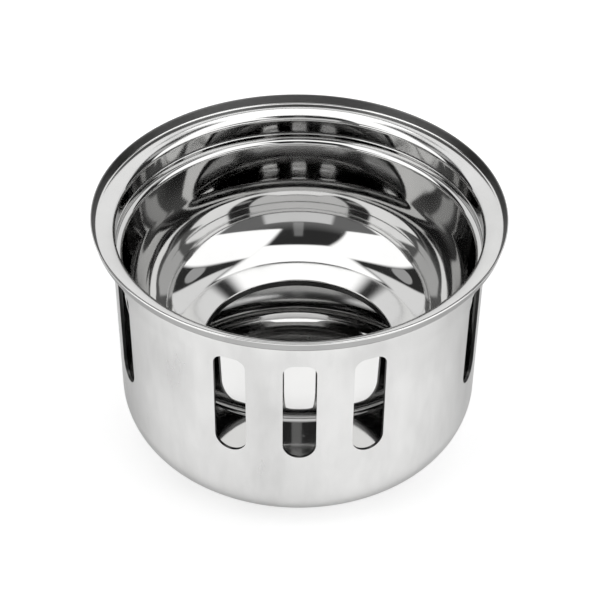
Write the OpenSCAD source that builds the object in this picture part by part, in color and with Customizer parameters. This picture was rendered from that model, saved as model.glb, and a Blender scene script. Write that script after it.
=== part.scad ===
// Floor drain insert: two drawn stainless cups, one seated inside the other.
// The outer cup hangs by its rim in the drain body and lets the water out
// through the slots in its wall. The inner cup drops it through the middle hole.
// Millimetres, +Z up, origin at the middle of the flat bottom.
// The front group of slots faces -Y.

/* [Outer cup] */
// Outside diameter of the rim
rim_d = 104; // [98:0.5:110]
// Height of the rim edge above the bottom
cup_h = 66; // [60:0.5:72]
// Thickness of the outer sheet
outer_t = 0.8; // [0.5:0.1:1.2]
// Inside radius of the throat under the rim
throat_r = 46.6; // [44:0.1:48]
// Height of the turned-up edge above the flat of the rim
edge_h = 2.15; // [1:0.05:4]
// Bend radius where the flat of the rim turns up, seen from above
edge_bend = 0.6; // [0.3:0.1:1.2]
// Radius where the flat of the rim rolls down into the throat
throat_bend = 1.8; // [1:0.1:3]
// Height where the seat for the inner cup starts
seat_top = 58.85; // [56:0.05:61]
// Height where the seat for the inner cup ends
seat_low = 53.05; // [50:0.05:55]
// Outside radius of the wall under the seat
wall_r = 46.85; // [45:0.05:47.5]
// Slope of the wall towards the bottom, in degrees
wall_slope = 1.35; // [0:0.05:3]
// Outside radius of the bottom corner
corner_r = 13.65; // [5:0.05:22]

/* [Slots] */
// Groups of slots around the wall
slot_groups = 4; // [2:1:6]
// Slots in a group
slot_count = 3; // [1:1:5]
// Angle between neighbours in a group
slot_step = 21.3; // [15:0.1:28]
// Width of a slot
slot_w = 8.2; // [5:0.1:11]
// Height of the top of a slot
slot_top = 54.9; // [45:0.1:56]
// Height of the bottom of a slot
slot_low = 25; // [18:0.1:35]

/* [Inner cup] */
// Thickness of the inner sheet
inner_t = 0.6; // [0.4:0.1:1]
// Inside radius of the inner wall
bowl_r = 42.4; // [38:0.1:44]
// Height of the flange the inner cup is seated on
flange_z = 57.85; // [55:0.05:60]
// Outside radius of the flange
flange_r = 46.54; // [45:0.01:46.6]
// Height of the turned-up edge of the flange
flange_edge = 1.2; // [0.8:0.1:2]
// Radius where the flange rolls down into the wall
flange_bend = 1.2; // [0.8:0.1:2]
// Inside radius of the lower corner
bowl_corner = 15.1; // [8:0.1:20]
// Height of the floor of the inner cup
bowl_floor = 24.85; // [15:0.05:35]
// Radius of the middle hole
hole_r = 24.7; // [15:0.1:30]
// Depth of the turned-down lip below the floor
lip_h = 2.4; // [1:0.1:6]

/* [Hidden] */

$fn = 128;
over = 1;
steel = [0.78, 0.78, 0.77];
rim_r = rim_d / 2;
rim_z = cup_h - edge_h;
upper_r = throat_r + outer_t;
axis_gap = 10;

// Quarter of a ring in the profile plane, centre (r, z), turned by quarter turns
module bend(r, z, outside, inside, turn) {
    translate([r, z])
    rotate([0, 0, turn * 90])
    intersection() {
        difference() {
            circle(r = outside, $fn = 96);
            circle(r = inside, $fn = 96);
        }
        square([outside, outside]);
    }
}

// Box in the profile plane from corner to corner
module box(r0, z0, r1, z1) {
    translate([r0, z0]) square([r1 - r0, z1 - z0]);
}

// Radius of the lower wall at height z, inset by the given amount
function lower_wall(z, inset) =
    wall_r - inset / cos(wall_slope) - (seat_low - z) * tan(wall_slope);

// Centre of the bottom corner, so that the corner runs smoothly into the wall
corner_c = wall_r - (seat_low - corner_r) * tan(wall_slope) - corner_r / cos(wall_slope);

// Solid under the lower wall, inset by the given amount
module lower_solid(inset) {
    radius = corner_r - inset;
    touch_r = corner_c + radius * cos(wall_slope);
    touch_z = corner_r - radius * sin(wall_slope);
    translate([corner_c, corner_r]) circle(r = radius, $fn = 192);
    polygon([
        [0, inset],
        [corner_c, inset],
        [corner_c, corner_r],
        [touch_r, touch_z],
        [lower_wall(seat_low, inset), seat_low],
        [0, seat_low],
    ]);
}

module outer_profile() {
    difference() {
        lower_solid(0);
        lower_solid(outer_t);
        box(-axis_gap - corner_r, -over, 0, cup_h);
        box(0, seat_low - 0.001, lower_wall(seat_low, outer_t), seat_low + over);
    }
    // conical seat
    polygon([
        [lower_wall(seat_low, outer_t), seat_low],
        [wall_r, seat_low],
        [upper_r, seat_top],
        [throat_r, seat_top],
    ]);
    // throat
    box(throat_r, seat_top, upper_r, rim_z - throat_bend);
    bend(throat_r + throat_bend, rim_z - throat_bend, throat_bend, throat_bend - outer_t, 1);
    // flat of the rim
    box(throat_r + throat_bend, rim_z - outer_t, rim_r - outer_t - edge_bend, rim_z);
    // turned-up edge
    bend(rim_r - outer_t - edge_bend, rim_z + edge_bend, edge_bend + outer_t, edge_bend, 3);
    box(rim_r - outer_t, rim_z + edge_bend, rim_r, cup_h - outer_t / 2);
    translate([rim_r - outer_t / 2, cup_h - outer_t / 2]) circle(d = outer_t, $fn = 48);
}

// One slot, cut outwards along +X
module slot() {
    length = slot_top - slot_low;
    translate([corner_c, 0, slot_low])
    rotate([90, 0, 90])
    linear_extrude(rim_r) {
        translate([0, slot_w / 2]) circle(d = slot_w, $fn = 64);
        translate([0, length - slot_w / 2]) circle(d = slot_w, $fn = 64);
        translate([-slot_w / 2, slot_w / 2]) square([slot_w, length - slot_w]);
    }
}

module outer_cup() {
    color(steel)
    difference() {
        rotate_extrude($fn = 180) outer_profile();
        for (g = [0 : slot_groups - 1])
            for (i = [0 : slot_count - 1])
                rotate([0, 0, -90 + g * 360 / slot_groups + (i - (slot_count - 1) / 2) * slot_step])
                slot();
    }
}

module inner_profile() {
    corner_in = bowl_corner;
    corner_out = bowl_corner + inner_t;
    corner_x = bowl_r - bowl_corner;
    corner_y = bowl_floor + bowl_corner;
    edge_in = 0.6;
    edge_x = flange_r - inner_t - edge_in;
    lip_bend = 0.4;
    lip_x = hole_r + inner_t + lip_bend;
    // turned-up edge of the flange
    translate([flange_r - inner_t / 2, flange_z + flange_edge - inner_t / 2]) circle(d = inner_t, $fn = 32);
    box(flange_r - inner_t, flange_z + edge_in, flange_r, flange_z + flange_edge - inner_t / 2);
    bend(edge_x, flange_z + edge_in, edge_in + inner_t, edge_in, 3);
    // flange and the bend into the wall
    box(bowl_r + flange_bend, flange_z - inner_t, edge_x, flange_z);
    bend(bowl_r + flange_bend, flange_z - flange_bend, flange_bend, flange_bend - inner_t, 1);
    // wall and lower corner
    box(bowl_r, corner_y, bowl_r + inner_t, flange_z - flange_bend);
    bend(corner_x, corner_y, corner_out, corner_in, 3);
    // floor
    box(lip_x, bowl_floor - inner_t, corner_x, bowl_floor);
    // turned-down lip of the hole
    bend(lip_x, bowl_floor - inner_t - lip_bend, inner_t + lip_bend, lip_bend, 1);
    box(hole_r, bowl_floor - lip_h, hole_r + inner_t, bowl_floor - inner_t - lip_bend);
}

module inner_cup() {
    color(steel)
    rotate_extrude($fn = 180) inner_profile();
}

outer_cup();
inner_cup();
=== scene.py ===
"""Looks of the floor drain insert: two polished steel cups on a white floor in a small light tent."""
import math

import bpy
import numpy as np
from mathutils import Matrix, Vector


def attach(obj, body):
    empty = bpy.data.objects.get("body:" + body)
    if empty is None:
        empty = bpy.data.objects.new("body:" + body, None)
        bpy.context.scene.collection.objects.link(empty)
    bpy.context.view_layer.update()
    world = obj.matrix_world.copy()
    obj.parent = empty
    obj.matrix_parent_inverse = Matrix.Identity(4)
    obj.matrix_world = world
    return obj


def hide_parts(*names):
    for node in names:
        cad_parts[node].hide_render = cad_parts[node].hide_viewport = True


MM = 0.001
TINY = 1e-9

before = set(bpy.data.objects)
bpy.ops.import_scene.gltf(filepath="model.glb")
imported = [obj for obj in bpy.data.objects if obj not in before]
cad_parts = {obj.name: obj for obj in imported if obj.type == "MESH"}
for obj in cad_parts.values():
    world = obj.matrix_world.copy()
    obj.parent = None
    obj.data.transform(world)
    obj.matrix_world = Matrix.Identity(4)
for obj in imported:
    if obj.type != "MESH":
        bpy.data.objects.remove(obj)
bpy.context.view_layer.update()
scene = bpy.context.scene

# Outer cup, millimetres, as in the CAD source
RIM_R = 52.0
CUP_H = 66.0
OUTER_T = 0.8
THROAT_OUT = 47.4
RIM_UNDER = 63.05
UNDER_BEND = 1.0
SEAT_TOP = 58.85
SEAT_LOW = 53.05
WALL_R = 46.85
WALL_SLOPE = math.radians(1.35)
CORNER_R = 13.65
SLOT_GROUPS = 4
SLOT_COUNT = 3
SLOT_STEP = math.radians(21.3)
SLOT_W = 8.2
SLOT_TOP = 54.9
SLOT_LOW = 25.0

# Turned-up edge of the outer cup's rim, read from the reflections: sheet, lean in degrees, bend
RIM_T = 0.6
EDGE_LEAN = 16.0
EDGE_BEND = 0.4

# Roll of the rim into the throat: first bend, its turn in degrees, second bend
ROLL_R = 5.05
ROLL_TURN = 52.0
THROAT_R = 46.12
THROAT_BEND = 1.6
THROAT_LOW = 58.0

# Shallow pocket under the throat, which holds the flange of the inner cup
POCKET_R = 46.75
POCKET_TOP = 57.5
POCKET_LOW = 55.9

# Tops of the slots, flatter than their round lower ends
SLOT_SHOULDER = 2.9

# Inner cup, as in the CAD source
INNER_T = 0.6
HOLE_R = 24.7
LIP_LOW = 22.45
LIP_BEND = 0.4

# Flange of the inner cup, read from the reflections
FLANGE_R = 46.7
FLANGE_TOP = 57.35
FLANGE_Z = 55.85
FLANGE_FOOT = 0.1
FLANGE_BEND = 1.5
FLANGE_BEND_R = 45.95

# Its bowl, read from the outlines and the reflections: a leaning wall, a wide side bend, a tighter
# corner and a floor that falls to the hole, with angles in degrees
BOWL_DRAFT = 3.2
WALL_FOOT = 44.7
SIDE_R = 24.1
SIDE_TURN = 51.3
CORNER_IN_R = 14.8
CREASE_SLOPE = 14.6
FLOOR_SLOPE = 14.0

# Angle of the outer cup's bottom corner where the painted shade of its wall ends and the polished bottom
# starts
BOTTOM_POLISH = -45

# Steps round the axis, points in a quarter of a slot's end, and the radii that the slots are cut between
AROUND = 480
SLOT_ARC = 20
CUT_FROM = 30.0
CUT_TO = 60.0
TRUE_NORMAL = "true_normal"

# Finishes of the steel, which are the material slots of both meshes. Three of them paint light or shade
# into the steel's colour: a dark edge, a shaded finish and a lighter finish.
SATIN, POLISHED, RIM_TOP, PAINTED_DARK_EDGE, PAINTED_SHADE, PAINTED_LIGHT = range(6)


class Net:
    """Builds a node tree from small expressions. Each call gives the output socket that it made."""

    def __init__(self, tree):
        self.tree = tree

    @classmethod
    def material(cls, name):
        made = bpy.data.materials.new(name)
        made.use_nodes = True
        net = cls(made.node_tree)
        net.tree.nodes.clear()
        net.material_made = made
        return net

    def node(self, kind, **settings):
        node = self.tree.nodes.new(kind)
        for key, value in settings.items():
            setattr(node, key, value)
        return node

    def set(self, socket, value):
        if isinstance(value, bpy.types.NodeSocket):
            self.tree.links.new(value, socket)
        else:
            socket.default_value = value

    def math(self, operation, *values):
        node = self.node("ShaderNodeMath", operation=operation)
        for socket, value in zip(node.inputs, values):
            self.set(socket, value)
        return node.outputs[0]

    def add(self, *values):
        total = values[0]
        for value in values[1:]:
            total = self.math("ADD", total, value)
        return total

    def times(self, *values):
        product = values[0]
        for value in values[1:]:
            product = self.math("MULTIPLY", product, value)
        return product

    def step(self, value, start, end, low=0.0, high=1.0):
        """Smooth step from low at start to high at end."""
        node = self.node("ShaderNodeMapRange", interpolation_type="SMOOTHSTEP")
        if start > end:
            start, end = end, start
            low, high = high, low
        for key, number in (("From Min", start), ("From Max", end), ("To Min", low), ("To Max", high)):
            node.inputs[key].default_value = number
        self.set(node.inputs["Value"], value)
        return node.outputs["Result"]

    def split(self, vector):
        node = self.node("ShaderNodeSeparateXYZ")
        self.set(node.inputs[0], vector)
        return node.outputs

    def scaled(self, vector, scale):
        node = self.node("ShaderNodeVectorMath", operation="MULTIPLY")
        self.set(node.inputs[0], vector)
        node.inputs[1].default_value = scale
        return node.outputs[0]

    def noise(self, vector, scale, detail=2.0, roughness=0.5):
        node = self.node("ShaderNodeTexNoise")
        self.set(node.inputs["Vector"], vector)
        node.inputs["Scale"].default_value = scale
        node.inputs["Detail"].default_value = detail
        node.inputs["Roughness"].default_value = roughness
        return node.outputs["Fac"]

    def finish(self, shader):
        out = self.node("ShaderNodeOutputMaterial")
        self.set(out.inputs["Surface"], shader)


# Steel mirrors a little less at grazing angles than an ideal metal, and is faintly warm
GRAZING = 0.55
WARMTH = (1.0, 0.998, 0.99)

# Noise on the steel: its stretch along each axis, and the values between which it shows
PATCH_SHOWS = (0.3, 0.7)
SMEAR_STRETCH = (1.0, 1.0, 0.35)
SMEAR_SHOWS = (0.35, 0.75)
SMEAR_ROUGHENS = (0.3, 0.75)
GRAIN_STRETCH = (0.6, 0.6, 14.0)

# Dried specks: cells and their clusters per metre, size in a cell, how few show, heights where they end
SPECK_CELLS = 260.0
SPECK_CLUSTERS = 190.0
SPECK_SHOWS = (0.16, 0.08)
SPECK_IS_RARE = (0.56, 0.62)
SPECK_ENDS = (0.004, 0.001)
SPECK_DARK = 0.75
SPECK_ROUGH = 0.4


class Steel:
    """What one finish of the steel looks like. The bump heights wave and lines are in metres."""

    def __init__(self, name, tone, tone_spread, rough, rough_spread, wave, lines, specks=False):
        self.name = name
        self.tone = tone
        self.tone_spread = tone_spread
        self.rough = rough
        self.rough_spread = rough_spread
        self.wave = wave
        self.lines = lines
        self.specks = specks

    def material(self):
        net = Net.material(self.name)
        place = net.node("ShaderNodeTexCoord").outputs["Object"]
        patches = net.noise(place, scale=28.0, detail=3.0)
        smears = net.noise(net.scaled(place, SMEAR_STRETCH), scale=95.0, detail=4.0, roughness=0.6)
        grain = net.noise(net.scaled(place, GRAIN_STRETCH), scale=420.0, detail=3.0, roughness=0.7)

        value = net.step(patches, *PATCH_SHOWS, self.tone - self.tone_spread, self.tone)
        value = net.times(value, net.step(smears, *SMEAR_SHOWS, 1.0, 1.0 - self.tone_spread))
        rough = net.step(smears, *SMEAR_ROUGHENS, self.rough, self.rough + self.rough_spread)
        if self.specks:
            value, rough = with_specks(net, place, value, rough)
        color = net.node("ShaderNodeCombineColor")
        for channel, tint in zip(color.inputs, WARMTH):
            net.set(channel, net.times(value, tint))

        shader = net.node("ShaderNodeBsdfPrincipled")
        shader.inputs["Metallic"].default_value = 1.0
        shader.inputs["Specular Tint"].default_value = (GRAZING, GRAZING, GRAZING, 1.0)
        net.set(shader.inputs["Base Color"], color.outputs[0])
        net.set(shader.inputs["Roughness"], rough)
        bump = net.node("ShaderNodeBump")
        bump.inputs["Strength"].default_value = 1.0
        bump.inputs["Distance"].default_value = 1.0
        net.set(bump.inputs["Height"], net.add(net.times(patches, self.wave), net.times(grain, self.lines)))
        net.set(shader.inputs["Normal"], bump.outputs[0])
        net.finish(shader.outputs[0])
        return net.material_made


def with_specks(net, place, value, rough):
    """Dried specks low in the cup, darker and rougher than the steel."""
    height = net.split(place)["Z"]
    cells = net.node("ShaderNodeTexVoronoi")
    net.set(cells.inputs["Vector"], place)
    cells.inputs["Scale"].default_value = SPECK_CELLS
    speck = net.times(
        net.step(cells.outputs["Distance"], *SPECK_SHOWS),
        net.step(net.noise(place, SPECK_CLUSTERS), *SPECK_IS_RARE),
        net.step(height, *SPECK_ENDS),
    )
    value = net.times(value, net.math("SUBTRACT", 1.0, net.times(speck, SPECK_DARK)))
    rough = net.add(rough, net.times(speck, SPECK_ROUGH))
    return value, rough


# In the order of the finishes above: tone, its spread, roughness, its spread, wave, lines
finish_materials = [
    Steel("satin_steel", 0.75, 0.10, 0.20, 0.08, 6e-5, 2e-6).material(),
    Steel("polished_steel", 0.67, 0.02, 0.035, 0.04, 1.2e-5, 0.0, specks=True).material(),
    Steel("rim_steel", 0.78, 0.05, 0.10, 0.06, 1e-5, 1.5e-6).material(),
    # Real cut edges, rougher than the sheet, whose very dark tone is painted shade and painted dark
    # reflection; the same finish darkens the bent faces next to them
    Steel("cut_edge_painted_dark", 0.15, 0.04, 0.30, 0.10, 0.0, 0.0).material(),
    # Painted shade and painted dark reflection: steel darkened inside the outer cup, under the inner cup
    # and on the outer face of the rim's edge
    Steel("painted_shade_steel", 0.45, 0.05, 0.14, 0.06, 1e-5, 0.0).material(),
    # Painted light: a lighter copy of the polished steel, so the inner cup's outside looks lit through the
    # slots
    Steel("painted_light_steel", 0.80, 0.03, 0.04, 0.03, 1e-5, 0.0).material(),
]


class Profile:
    """A line in the (radius, height) plane, with the normals at both ends and the finish of each step.

    It closes on its own start, unless last is the point where it ends.
    """

    def __init__(self):
        self.points = []
        self.steps = []
        self.finish = None
        self.last = None

    def line(self, a, b):
        """Straight step from a to b. The steel is on the left of the way."""
        direction = np.array(b, float) - np.array(a, float)
        direction = direction / np.linalg.norm(direction)
        normal = (direction[1], -direction[0])
        self.points.append(tuple(a))
        self.steps.append((normal, normal, self.finish))

    def arc(self, centre, radius, start, end, count):
        """Arc between two angles in degrees. A falling angle is a hollow bend, which faces its centre."""
        sign = 1.0 if end > start else -1.0
        angles = np.linspace(math.radians(start), math.radians(end), count + 1)
        for a, b in zip(angles[:-1], angles[1:]):
            self.points.append((centre[0] + radius * math.cos(a), centre[1] + radius * math.sin(a)))
            self.steps.append((
                (sign * math.cos(a), sign * math.sin(a)),
                (sign * math.cos(b), sign * math.sin(b)),
                self.finish,
            ))


def on_circle(centre, radius, angle):
    """The point of a circle at an angle in degrees."""
    a = math.radians(angle)
    return (centre[0] + radius * math.cos(a), centre[1] + radius * math.sin(a))


def outer_profile():
    """The outer cup's sheet, from the axis along the outside to the rim and back along the inside."""
    slope = math.degrees(WALL_SLOPE)
    corner_x = WALL_R - (SEAT_LOW - CORNER_R) * math.tan(WALL_SLOPE) - CORNER_R / math.cos(WALL_SLOPE)
    corner = (corner_x, CORNER_R)
    corner_in = CORNER_R - OUTER_T
    wall_in = WALL_R - OUTER_T / math.cos(WALL_SLOPE)
    under = (THROAT_OUT + UNDER_BEND, RIM_UNDER - UNDER_BEND)

    # the turned-up edge leans out, its crest touching the widest circle
    half = RIM_T / 2
    lean = math.radians(EDGE_LEAN)
    rim_z = RIM_UNDER + RIM_T
    crest = (RIM_R - half, CUP_H - half)
    bend_z = rim_z + EDGE_BEND
    reach = EDGE_BEND + half
    run = (crest[1] + reach * math.sin(lean) - bend_z) / math.cos(lean)
    edge = (crest[0] - reach * math.cos(lean) - run * math.sin(lean), bend_z)
    edge_out = EDGE_BEND + RIM_T

    # the flat rolls down into the throat, slowly at first
    turn = math.radians(ROLL_TURN)
    throat_x = THROAT_R + THROAT_BEND
    roll = (throat_x + (ROLL_R - THROAT_BEND) * math.cos(turn), rim_z - ROLL_R)
    throat = (throat_x, roll[1] + (ROLL_R - THROAT_BEND) * math.sin(turn))

    p = Profile()
    p.finish = SATIN
    p.line((0.0, 0.0), (corner_x, 0.0))
    p.arc(corner, CORNER_R, -90, -slope, count=36)
    p.line(on_circle(corner, CORNER_R, -slope), (WALL_R, SEAT_LOW))
    p.line((WALL_R, SEAT_LOW), (THROAT_OUT, SEAT_TOP))
    p.line((THROAT_OUT, SEAT_TOP), (THROAT_OUT, under[1]))
    p.arc(under, UNDER_BEND, 180, 90, count=12)
    p.line((under[0], RIM_UNDER), (edge[0], RIM_UNDER))
    # Painted shade: the outer face of the turned-up edge is darkened
    p.finish = PAINTED_SHADE
    p.arc(edge, edge_out, -90, -EDGE_LEAN, count=14)
    p.line(on_circle(edge, edge_out, -EDGE_LEAN), on_circle(crest, half, -EDGE_LEAN))
    p.finish = RIM_TOP
    p.arc(crest, half, -EDGE_LEAN, 90 - EDGE_LEAN, count=7)
    # Painted dark reflection: the inner half of the crest and the edge's inner face are made very dark
    p.finish = PAINTED_DARK_EDGE
    p.arc(crest, half, 90 - EDGE_LEAN, 180 - EDGE_LEAN, count=7)
    p.line(on_circle(crest, half, 180 - EDGE_LEAN), on_circle(edge, EDGE_BEND, -EDGE_LEAN))
    p.finish = RIM_TOP
    p.arc(edge, EDGE_BEND, -EDGE_LEAN, -90, count=12)
    p.line((edge[0], rim_z), (roll[0], rim_z))
    p.arc(roll, ROLL_R, 90, 180 - ROLL_TURN, count=24)
    p.finish = POLISHED
    p.arc(throat, THROAT_BEND, 180 - ROLL_TURN, 180, count=20)
    p.line((THROAT_R, throat[1]), (THROAT_R, THROAT_LOW))
    # Painted shade: the outer cup's inside, from the throat down the wall into the corner, is darkened
    p.finish = PAINTED_SHADE
    p.line((THROAT_R, THROAT_LOW), (POCKET_R, POCKET_TOP))
    p.line((POCKET_R, POCKET_TOP), (POCKET_R, POCKET_LOW))
    p.line((POCKET_R, POCKET_LOW), (wall_in, SEAT_LOW))
    p.line((wall_in, SEAT_LOW), on_circle(corner, corner_in, -slope))
    p.arc(corner, corner_in, -slope, BOTTOM_POLISH, count=18)
    p.finish = POLISHED
    p.arc(corner, corner_in, BOTTOM_POLISH, -90, count=18)
    p.last = (0.0, OUTER_T)
    p.line((corner_x, OUTER_T), p.last)
    return p


def inner_profile():
    """The inner cup's sheet, round the whole cross section from the end of the lip."""
    half = INNER_T / 2
    crest = (FLANGE_R - half, FLANGE_TOP - half)
    foot = (FLANGE_R - INNER_T - FLANGE_FOOT, FLANGE_Z + FLANGE_FOOT)

    # directions on the circles of the bends, in degrees
    to_wall = 180 - BOWL_DRAFT
    to_meet = SIDE_TURN - 90
    to_crease = CREASE_SLOPE - 90
    to_floor = 90 + FLOOR_SLOPE

    # the wall leans in downwards and runs into a wide side bend, then into a tighter corner
    bend = (FLANGE_BEND_R, FLANGE_Z - FLANGE_BEND)
    wall_top = on_circle(bend, FLANGE_BEND, to_wall)
    wall_foot = (wall_top[0] - (wall_top[1] - WALL_FOOT) * math.tan(math.radians(BOWL_DRAFT)), WALL_FOOT)
    side = on_circle(wall_foot, SIDE_R, to_wall)
    meet = on_circle(side, SIDE_R, to_meet)
    corner = on_circle(meet, CORNER_IN_R, SIDE_TURN + 90)
    crease = on_circle(corner, CORNER_IN_R, to_crease)

    # the floor falls from the crease to the bend at the hole
    edge_r = HOLE_R + LIP_BEND
    floor_end = on_circle((edge_r, 0.0), LIP_BEND, to_floor)
    fall = (crease[0] - floor_end[0]) * math.tan(math.radians(FLOOR_SLOPE))
    edge = (edge_r, crease[1] - fall - floor_end[1])

    # the outside follows the same line, one sheet further out
    lip_r = HOLE_R + INNER_T
    side_out = SIDE_R + INNER_T
    corner_out = CORNER_IN_R + INNER_T
    bend_out = FLANGE_BEND - INNER_T
    under_start = (lip_r, edge[1] - half)

    p = Profile()
    # Painted shade: the end of the lip round the hole is made very dark
    p.finish = PAINTED_DARK_EDGE
    p.line((HOLE_R, LIP_LOW), (lip_r, LIP_LOW))
    # Painted shade: the lip's outside and the underside of the inner cup are darkened
    p.finish = PAINTED_SHADE
    p.line((lip_r, LIP_LOW), under_start)
    p.line(under_start, on_circle(corner, corner_out, to_crease))
    # Painted light: the inner cup's outside is a lighter copy of its polished inside
    p.finish = PAINTED_LIGHT
    p.arc(corner, corner_out, to_crease, to_meet, count=16)
    p.arc(side, side_out, to_meet, -BOWL_DRAFT, count=16)
    p.line(on_circle(side, side_out, -BOWL_DRAFT), on_circle(bend, bend_out, to_wall))
    p.arc(bend, bend_out, to_wall, 90, count=8)
    p.line((bend[0], FLANGE_Z - INNER_T), (FLANGE_R - INNER_T, FLANGE_Z - INNER_T))
    p.arc((FLANGE_R - INNER_T, FLANGE_Z), INNER_T, -90, 0, count=8)
    p.finish = POLISHED
    p.line((FLANGE_R, FLANGE_Z), (FLANGE_R, crest[1]))
    p.arc(crest, half, 0, 180, count=12)
    p.line((crest[0] - half, crest[1]), (crest[0] - half, foot[1]))
    p.arc(foot, FLANGE_FOOT, 0, -90, count=4)
    p.line((foot[0], FLANGE_Z), (bend[0], FLANGE_Z))
    p.arc(bend, FLANGE_BEND, 90, to_wall, count=24)
    p.line(wall_top, wall_foot)
    p.arc(side, SIDE_R, -BOWL_DRAFT, to_meet, count=32)
    p.arc(corner, CORNER_IN_R, to_meet, to_crease, count=32)
    p.line(crease, on_circle(edge, LIP_BEND, to_floor))
    p.arc(edge, LIP_BEND, to_floor, 180, count=10)
    # Painted shade: the inside face of the lip round the hole is made very dark
    p.finish = PAINTED_DARK_EDGE
    p.line((HOLE_R, edge[1]), (HOLE_R, LIP_LOW))
    return p


def lathe(name, profile):
    """A turned mesh of quads about +Z, whose normals are those of the true profile."""
    points = list(profile.points)
    if profile.last is not None:
        points.append(profile.last)
    rings = []
    verts = []
    for r, z in points:
        if r < TINY:
            rings.append([len(verts)] * AROUND)
            verts.append((0.0, 0.0, z * MM))
        else:
            rings.append(list(range(len(verts), len(verts) + AROUND)))
            for j in range(AROUND):
                a = 2 * math.pi * j / AROUND
                verts.append((r * MM * math.cos(a), r * MM * math.sin(a), z * MM))
    faces = []
    normals = []
    finishes = []
    for k, (start, end, finish) in enumerate(profile.steps):
        low = rings[k]
        high = rings[(k + 1) % len(rings)]
        for j in range(AROUND):
            n = (j + 1) % AROUND
            corners = [(low[j], start, j), (low[n], start, n), (high[n], end, n), (high[j], end, j)]
            if low[j] == low[n]:
                corners = [corners[0], corners[2], corners[3]]
            elif high[j] == high[n]:
                corners = corners[:3]
            faces.append([c[0] for c in corners])
            finishes.append(finish)
            for _, (nr, nz), i in corners:
                a = 2 * math.pi * i / AROUND
                normals.append((nr * math.cos(a), nr * math.sin(a), nz))
    return new_piece(name, verts, faces, normals, finishes)


def new_piece(name, verts, faces, normals, finishes):
    """A mesh object that also keeps its true normals in a corner attribute."""
    mesh = bpy.data.meshes.new(name)
    mesh.from_pydata(verts, [], faces)
    for material in finish_materials:
        mesh.materials.append(material)
    mesh.polygons.foreach_set("material_index", finishes)
    kept = mesh.attributes.new(TRUE_NORMAL, "FLOAT_VECTOR", "CORNER")
    kept.data.foreach_set("vector", np.array(normals, np.float32).ravel())
    piece = bpy.data.objects.new(name, mesh)
    scene.collection.objects.link(piece)
    return piece


def use_true_normals(piece):
    """Shades the mesh with the normals that it keeps, and drops the attribute."""
    mesh = piece.data
    kept = mesh.attributes[TRUE_NORMAL]
    normals = np.zeros(len(mesh.loops) * 3, np.float32)
    kept.data.foreach_get("vector", normals)
    normals = normals.reshape(-1, 3)
    normals /= np.maximum(np.linalg.norm(normals, axis=1), TINY)[:, None]
    mesh.attributes.remove(kept)
    mesh.polygons.foreach_set("use_smooth", [True] * len(mesh.polygons))
    mesh.normals_split_custom_set(normals.tolist())


def slot_outline():
    """One slot seen from outside: across, height and normal of each point, anticlockwise."""
    half = SLOT_W / 2
    shoulder = half - SLOT_SHOULDER
    # centre across and up, radius, and the half turns at which the quarter starts
    corners = (
        (shoulder, SLOT_TOP - SLOT_SHOULDER, SLOT_SHOULDER, 0.0),
        (-shoulder, SLOT_TOP - SLOT_SHOULDER, SLOT_SHOULDER, 0.5),
        (0.0, SLOT_LOW + half, half, 1.0),
        (0.0, SLOT_LOW + half, half, 1.5),
    )
    outline = []
    for t, z, radius, start in corners:
        for k in range(SLOT_ARC):
            a = math.pi * (start + 0.5 * k / (SLOT_ARC - 1))
            outline.append((t + radius * math.cos(a), z + radius * math.sin(a), math.cos(a), math.sin(a)))
    return outline


def slot_turns():
    """The angle of each slot round the axis. The front group faces -Y."""
    turns = []
    for group in range(SLOT_GROUPS):
        for i in range(SLOT_COUNT):
            from_middle = (i - (SLOT_COUNT - 1) / 2) * SLOT_STEP
            turns.append(-math.pi / 2 + group * 2 * math.pi / SLOT_GROUPS + from_middle)
    return turns


def slot_cutter():
    """All the slots as one mesh of prisms that point away from the axis, to be cut out of the wall."""
    outline = slot_outline()
    size = len(outline)
    verts = []
    faces = []
    normals = []
    for turn in slot_turns():
        out = Vector((math.cos(turn), math.sin(turn), 0.0))
        side = Vector((-out.y, out.x, 0.0))
        base = len(verts)
        for reach in (CUT_FROM, CUT_TO):
            for t, z, _, _ in outline:
                verts.append((out * reach + side * t) * MM + Vector((0.0, 0.0, z * MM)))
        for k in range(size):
            n = (k + 1) % size
            faces.append([base + k, base + n, base + size + n, base + size + k])
            for q in (k, n, n, k):
                _, _, across, up = outline[q]
                normals.append(tuple(-(side * across + Vector((0.0, 0.0, up)))))
        faces.append([base + k for k in reversed(range(size))])
        normals += [tuple(out)] * size
        faces.append([base + size + k for k in range(size)])
        normals += [tuple(-out)] * size
    # Its faces become the walls of the slots and keep the very dark edge finish: painted shade along the
    # slots
    return new_piece("slot_cutter", verts, faces, normals, [PAINTED_DARK_EDGE] * len(faces))


def cut(piece, cutter):
    """Takes the cutter's space out of the piece."""
    modifier = piece.modifiers.new("cut", "BOOLEAN")
    modifier.operation = "DIFFERENCE"
    modifier.solver = "EXACT"
    modifier.object = cutter
    bpy.context.view_layer.update()
    result = bpy.data.meshes.new_from_object(piece.evaluated_get(bpy.context.evaluated_depsgraph_get()))
    piece.modifiers.clear()
    old = piece.data
    piece.data = result
    bpy.data.meshes.remove(old)
    bpy.data.objects.remove(cutter)


inner = lathe("inner_shell", inner_profile())
outer = lathe("outer_shell", outer_profile())
cut(outer, slot_cutter())
for shell in (inner, outer):
    use_true_normals(shell)
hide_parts("inner_cup")
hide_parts("outer_cup")
for shell in (inner, outer):
    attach(shell, "root")


# Camera at the photograph's viewing angle
CAM_TARGET = Vector((0.35, 0.0, 37.38)) * MM
CAM_DISTANCE = 600.0 * MM
CAM_ELEVATION = math.radians(38.81)
CAM_ROLL = math.radians(0.55)
CAM_TURN = math.radians(-0.65)
CAM_SENSOR = 36.0
CAM_LENS = 140.26
CAM_NEAR = 0.01
CAM_FAR = 20.0


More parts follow.
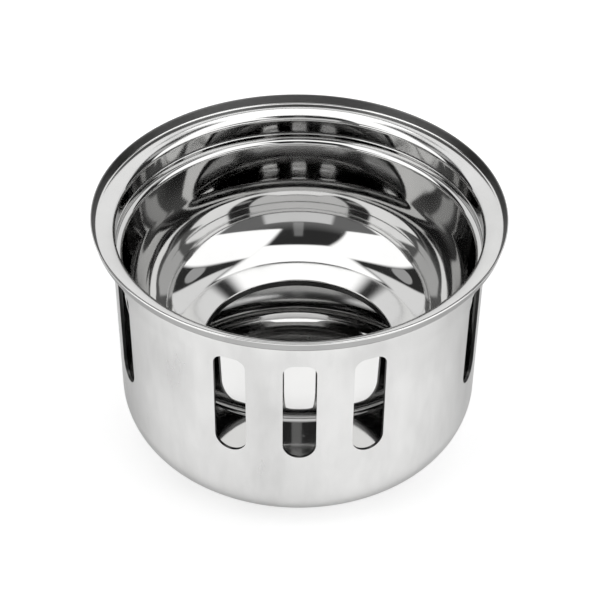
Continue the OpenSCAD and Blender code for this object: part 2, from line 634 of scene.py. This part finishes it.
def place_camera():
    data = bpy.data.cameras.new("camera")
    data.sensor_width = CAM_SENSOR
    data.lens = CAM_LENS
    data.clip_start = CAM_NEAR
    data.clip_end = CAM_FAR
    camera = bpy.data.objects.new("camera", data)
    scene.collection.objects.link(camera)
    scene.camera = camera
    around = Matrix.Rotation(CAM_TURN, 3, "Z")
    back = around @ Vector((0.0, -math.cos(CAM_ELEVATION), math.sin(CAM_ELEVATION)))
    up = around @ Vector((0.0, math.sin(CAM_ELEVATION), math.cos(CAM_ELEVATION)))
    right = around @ Vector((1.0, 0.0, 0.0))
    rolled_right = right * math.cos(CAM_ROLL) + up * math.sin(CAM_ROLL)
    rolled_up = up * math.cos(CAM_ROLL) - right * math.sin(CAM_ROLL)
    turn = Matrix((rolled_right, rolled_up, back)).transposed().to_4x4()
    camera.matrix_world = Matrix.Translation(CAM_TARGET + back * CAM_DISTANCE) @ turn


place_camera()

# Floor: half its side in metres, what it adds for the camera and mirrors, and its own shade
FLOOR_HALF = 3.0
FLOOR_GLOW = 0.55
FLOOR_SHADE = 0.62


def floor_material():
    """Matt white that takes the cups' shadow, with a glow that only the camera and mirrors see."""
    net = Net.material("white_floor")
    path = net.node("ShaderNodeLightPath")
    seen = net.math("MAXIMUM", path.outputs["Is Camera Ray"], path.outputs["Is Glossy Ray"])
    paint = net.node("ShaderNodeBsdfDiffuse")
    paint.inputs["Color"].default_value = (FLOOR_SHADE, FLOOR_SHADE, FLOOR_SHADE, 1.0)
    glow = net.node("ShaderNodeEmission")
    net.set(glow.inputs["Strength"], net.times(seen, FLOOR_GLOW))
    both = net.node("ShaderNodeAddShader")
    net.set(both.inputs[0], paint.outputs[0])
    net.set(both.inputs[1], glow.outputs[0])
    net.finish(both.outputs[0])
    return net.material_made


def white_floor():
    corners = [(x * FLOOR_HALF, y * FLOOR_HALF, 0) for x, y in ((-1, -1), (1, -1), (1, 1), (-1, 1))]
    mesh = bpy.data.meshes.new("floor")
    mesh.from_pydata(corners, [], [(0, 1, 2, 3)])
    mesh.materials.append(floor_material())
    floor = bpy.data.objects.new("floor", mesh)
    scene.collection.objects.link(floor)
    return floor


floor = white_floor()

# Light tent round the cups. Each part has its strength, and its place as slopes: across and along
# the ceiling, for a height of one. Edges fade over SOFT to either side, and LOWEST keeps the slopes
# finite. DARK is what is left where nothing shines.
SOFT = 0.04
LOWEST = 0.01
DARK = 0.035

# Two side panels and a strip overhead, with a dark gap between the panels for the camera
PANEL = 1.55
PANEL_BACK = 0.075
PANEL_FRONT = -1.2
PANEL_REACH = 2.0
PANEL_REACH_SOFT = 0.2
STRIP_HALF = 0.33
STRIP_START = -0.30
STRIP_END = 0.58
GAP_RIGHT = 0.28
GAP_LEFT = -0.26
GAP_FLARE = 0.7

# Light wall behind, with a dark corner at each side and a grey oval in the corner
WALL = 0.95
WALL_START = 0.68
WEDGE_SIDE = 0.35
WEDGE_START = 0.25
WEDGE_RISE = 0.6
OVAL = 0.42
OVAL_PLACE = (1.0, 0.29)
OVAL_SIZE = (0.26, 0.21)
OVAL_RIM = (1.15, 0.85)

# Low in front: grey, the light table and the camera's lens. Each pair gives where the light starts and
# where it is full, as the depth, height or sideways turn of the direction.
FRONT_FADE = (0.0, -0.1)
LOW_FRONT = 0.15
LOW_FRONT_TOP = (0.7, 0.5)
TABLE = 0.6
TABLE_TOP = (0.52, 0.5)
TABLE_HALF = 0.45
LENS = 0.2
LENS_TOP = (0.85, 0.78)
LENS_LOW = (0.5, 0.55)
LENS_SIDE = (0.075, 0.06)


class Tent:
    """The tent's light in each direction, as nodes of the world."""

    def __init__(self, net):
        self.net = net
        self.x, self.y, self.z = net.split(net.node("ShaderNodeTexCoord").outputs["Generated"])
        height = net.math("MAXIMUM", self.z, LOWEST)
        self.across = net.math("DIVIDE", self.x, height)
        self.along = net.math("DIVIDE", self.y, height)
        self.aside = net.math("ABSOLUTE", self.across)

    def over(self, value, edge, soft=SOFT):
        """1 where the value is over the edge, 0 under it."""
        return self.net.step(value, edge - soft, edge + soft)

    def under(self, value, edge, soft=SOFT):
        """1 where the value is under the edge, 0 over it."""
        return self.net.step(value, edge + soft, edge - soft)

    def panels(self):
        """The strip overhead and the panels to the left and right of the camera's gap."""
        net = self.net
        strip = net.times(
            self.over(self.along, STRIP_START),
            self.over(self.across, -STRIP_HALF),
            self.under(self.across, STRIP_HALF),
            self.under(self.along, STRIP_END),
        )
        before_strip = net.math("MINIMUM", net.math("SUBTRACT", self.along, STRIP_START), 0.0)
        gap_left = net.add(net.times(before_strip, GAP_FLARE), GAP_LEFT)
        reach = net.math(
            "MAXIMUM",
            self.over(self.along, PANEL_FRONT),
            self.over(self.aside, PANEL_REACH, PANEL_REACH_SOFT),
        )
        front = net.times(self.under(self.y, PANEL_BACK), reach)
        left = net.times(front, self.under(net.math("SUBTRACT", self.across, gap_left), 0.0))
        right = net.times(front, self.over(self.across, GAP_RIGHT))
        return net.times(net.math("MAXIMUM", strip, net.math("MAXIMUM", left, right)), PANEL)

    def back_wall(self):
        """The wall behind: full height in the middle, over the dark corners at the sides, and the ovals."""
        net = self.net
        beyond = net.math("SUBTRACT", self.aside, WEDGE_SIDE)
        wedge_top = net.add(net.times(beyond, WEDGE_RISE), WEDGE_START)
        outer = net.times(
            self.over(net.math("SUBTRACT", self.along, wedge_top), 0.0),
            self.over(beyond, 0.0),
        )
        middle = net.times(self.over(self.along, WALL_START), self.under(beyond, 0.0))
        squares = []
        for slope, place, size in zip((self.aside, self.along), OVAL_PLACE, OVAL_SIZE):
            off = net.math("DIVIDE", net.math("SUBTRACT", slope, place), size)
            squares.append(net.times(off, off))
        oval = net.times(net.step(net.add(*squares), *OVAL_RIM), OVAL)
        wall = net.math("MAXIMUM", net.times(net.add(outer, middle), WALL), oval)
        return net.times(wall, net.step(self.y, PANEL_BACK, PANEL_BACK + SOFT))

    def low_front(self):
        """What the steel mirrors below the panels, on the camera's side."""
        net = self.net
        turned = net.math("ABSOLUTE", net.math("DIVIDE", self.x, net.math("MINIMUM", self.y, -LOWEST)))
        ahead = net.step(self.y, *FRONT_FADE)
        low = net.times(ahead, net.step(self.z, *LOW_FRONT_TOP))
        table = net.times(low, net.step(self.z, *TABLE_TOP), self.under(turned, TABLE_HALF))
        lens = net.times(
            ahead,
            net.step(turned, *LENS_SIDE),
            net.step(self.z, *LENS_TOP),
            net.step(self.z, *LENS_LOW),
        )
        return net.add(net.times(table, TABLE), net.times(low, LOW_FRONT), net.times(lens, LENS))

    def light(self):
        """The strength of the whole tent."""
        grey = self.net.add(self.back_wall(), self.low_front(), DARK)
        return self.net.math("MAXIMUM", grey, self.panels())


def tent_world():
    world = bpy.data.worlds.new("tent")
    world.use_nodes = True
    net = Net(world.node_tree)
    background = world.node_tree.nodes["Background"]
    background.inputs["Color"].default_value = (1.0, 1.0, 1.0, 1.0)
    net.set(background.inputs["Strength"], Tent(net).light())
    return world


scene.world = tent_world()
scene.view_settings.view_transform = "Standard"

bpy.context.view_layer.update()
